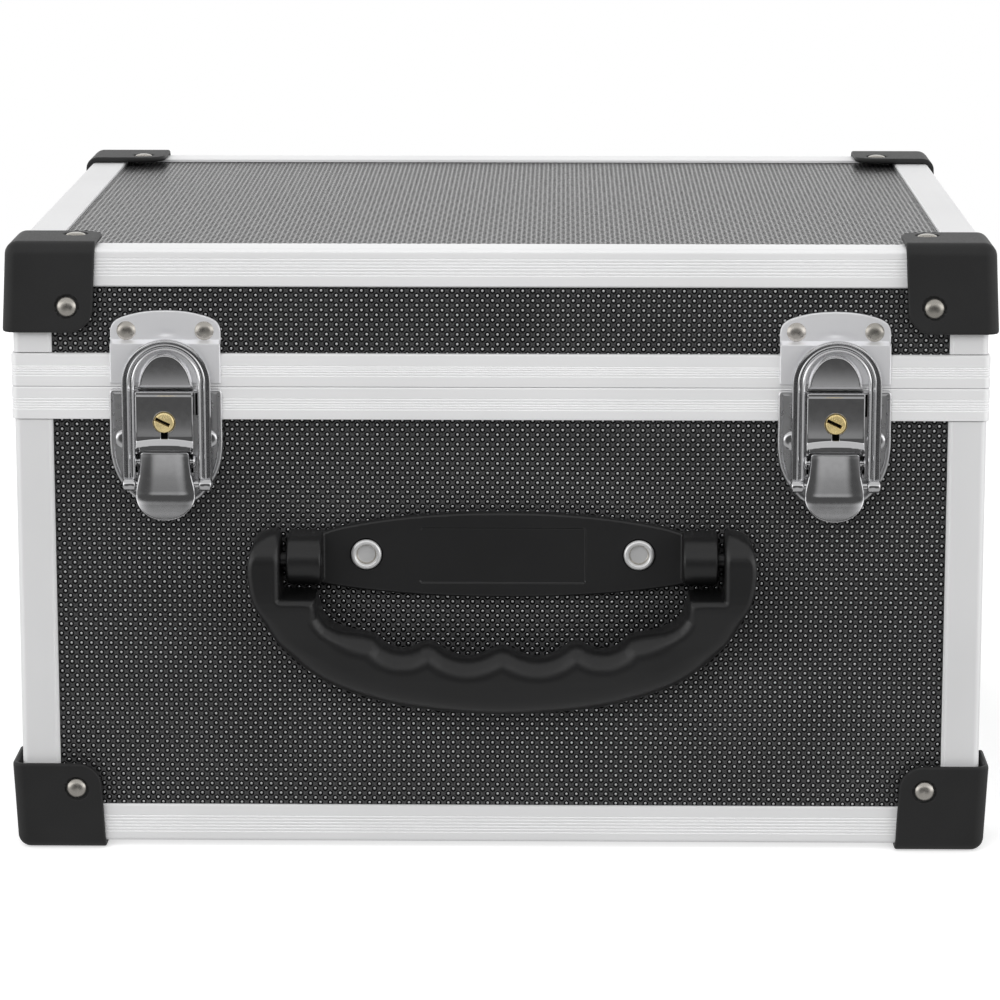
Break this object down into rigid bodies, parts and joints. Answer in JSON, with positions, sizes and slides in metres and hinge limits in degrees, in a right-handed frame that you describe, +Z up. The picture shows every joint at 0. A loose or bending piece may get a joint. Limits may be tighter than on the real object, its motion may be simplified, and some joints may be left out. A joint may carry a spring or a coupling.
{
  "type": "aluminium-framed case",
  "caption": "Rectangular black case with aluminium edges, plastic corner caps, a hinged lid, locking draw latches and a swing handle on the front.",
  "frame": {"origin": "on the surface the bottom corner caps stand on, at the middle of the whole width and of the whole depth, handle and hinges included", "axes": "+X to the right seen from the front, +Y to the back where the hinges are, +Z up"},
  "size_m": [0.3138, 0.2822, 0.1988],
  "materials": {
    "aluminium": "satin anodised, finely grooved extrusion",
    "panel": "black embossed dot facing on board, faint metallic glint",
    "corner_cap": "matt black moulded plastic",
    "handle": "matt black moulded plastic",
    "chrome": "bright plated steel",
    "nickel": "satin nickel-plated steel",
    "brass": "turned brass",
    "lining": "dark foam with a cloth face"
  },
  "bodies": {
    "case_body": {"body_back_panel": "panel", "body_bottom_panel": "panel", "body_front_panel": "panel", "body_left_panel": "panel", "body_lining": "lining", "body_post_back_left": "aluminium", "body_post_back_right": "aluminium", "body_post_front_left": "aluminium", "body_post_front_right": "aluminium", "body_right_panel": "panel", "body_rim_frame": "aluminium", "bottom_cap_back_left": "corner_cap", "bottom_cap_back_right": "corner_cap", "bottom_cap_front_left": "corner_cap", "bottom_cap_front_right": "corner_cap", "bottom_edge_back": "aluminium", "bottom_edge_front": "aluminium", "bottom_edge_left": "aluminium", "bottom_edge_right": "aluminium", "centre_divider": "lining", "handle_plate": "handle", "handle_rivet_left": "nickel", "handle_rivet_right": "nickel", "hinge_left_body_leaf": "nickel", "hinge_left_pin": "chrome", "hinge_right_body_leaf": "nickel", "hinge_right_pin": "chrome", "latch_left_base": "chrome", "latch_right_base": "chrome"},
    "lid": {"hinge_left_lid_leaf": "nickel", "hinge_right_lid_leaf": "nickel", "latch_left_catch": "nickel", "latch_right_catch": "nickel", "lid_back_panel": "panel", "lid_front_panel": "panel", "lid_left_panel": "panel", "lid_lining": "lining", "lid_post_back_left": "aluminium", "lid_post_back_right": "aluminium", "lid_post_front_left": "aluminium", "lid_post_front_right": "aluminium", "lid_right_panel": "panel", "lid_rim_frame": "aluminium", "lid_top_panel": "panel", "top_cap_back_left": "corner_cap", "top_cap_back_right": "corner_cap", "top_cap_front_left": "corner_cap", "top_cap_front_right": "corner_cap", "top_edge_back": "aluminium", "top_edge_front": "aluminium", "top_edge_left": "aluminium", "top_edge_right": "aluminium"},
    "lever_left": {"latch_left_lever": "chrome"},
    "bail_left": {"latch_left_bail": "chrome"},
    "lock_left": {"latch_left_lock_cylinder": "brass"},
    "lever_right": {"latch_right_lever": "chrome"},
    "bail_right": {"latch_right_bail": "chrome"},
    "lock_right": {"latch_right_lock_cylinder": "brass"},
    "handle": {"handle_grip": "handle"}
  },
  "joints": [
    {"name": "lid_hinge", "type": "hinge", "parent": "case_body", "child": "lid", "pos_m": [0, 0.1382, 0.1524], "axis": [-1, 0, 0], "range_deg": [0, 100]},
    {"name": "handle_swing", "type": "hinge", "parent": "case_body", "child": "handle", "pos_m": [0.0009, -0.1305, 0.0982], "axis": [-1, 0, 0], "range_deg": [0, 100]},
    {"name": "latch_left_lever_pivot", "type": "hinge", "parent": "case_body", "child": "lever_left", "pos_m": [-0.1064, -0.1262, 0.1292], "axis": [-1, 0, 0], "range_deg": [0, 95]},
    {"name": "latch_left_bail_pivot", "type": "hinge", "parent": "lever_left", "child": "bail_left", "pos_m": [-0.1064, -0.1254, 0.1215], "axis": [-1, 0, 0], "range_deg": [-120, 0]},
    {"name": "latch_left_lock_turn", "type": "hinge", "parent": "case_body", "child": "lock_left", "pos_m": [-0.1064, -0.127, 0.1421], "axis": [0, -1, 0], "range_deg": [0, 90]},
    {"name": "latch_right_lever_pivot", "type": "hinge", "parent": "case_body", "child": "lever_right", "pos_m": [0.1064, -0.1262, 0.1292], "axis": [-1, 0, 0], "range_deg": [0, 95]},
    {"name": "latch_right_bail_pivot", "type": "hinge", "parent": "lever_right", "child": "bail_right", "pos_m": [0.1064, -0.1254, 0.1215], "axis": [-1, 0, 0], "range_deg": [-120, 0]},
    {"name": "latch_right_lock_turn", "type": "hinge", "parent": "case_body", "child": "lock_right", "pos_m": [0.1064, -0.127, 0.1421], "axis": [0, -1, 0], "range_deg": [0, 90]}
  ],
  "couplings": [
    {"joint": "latch_left_bail_pivot", "follows": "latch_left_lever_pivot", "ratio": -1.25},
    {"joint": "latch_right_bail_pivot", "follows": "latch_right_lever_pivot", "ratio": -1.25}
  ]
}
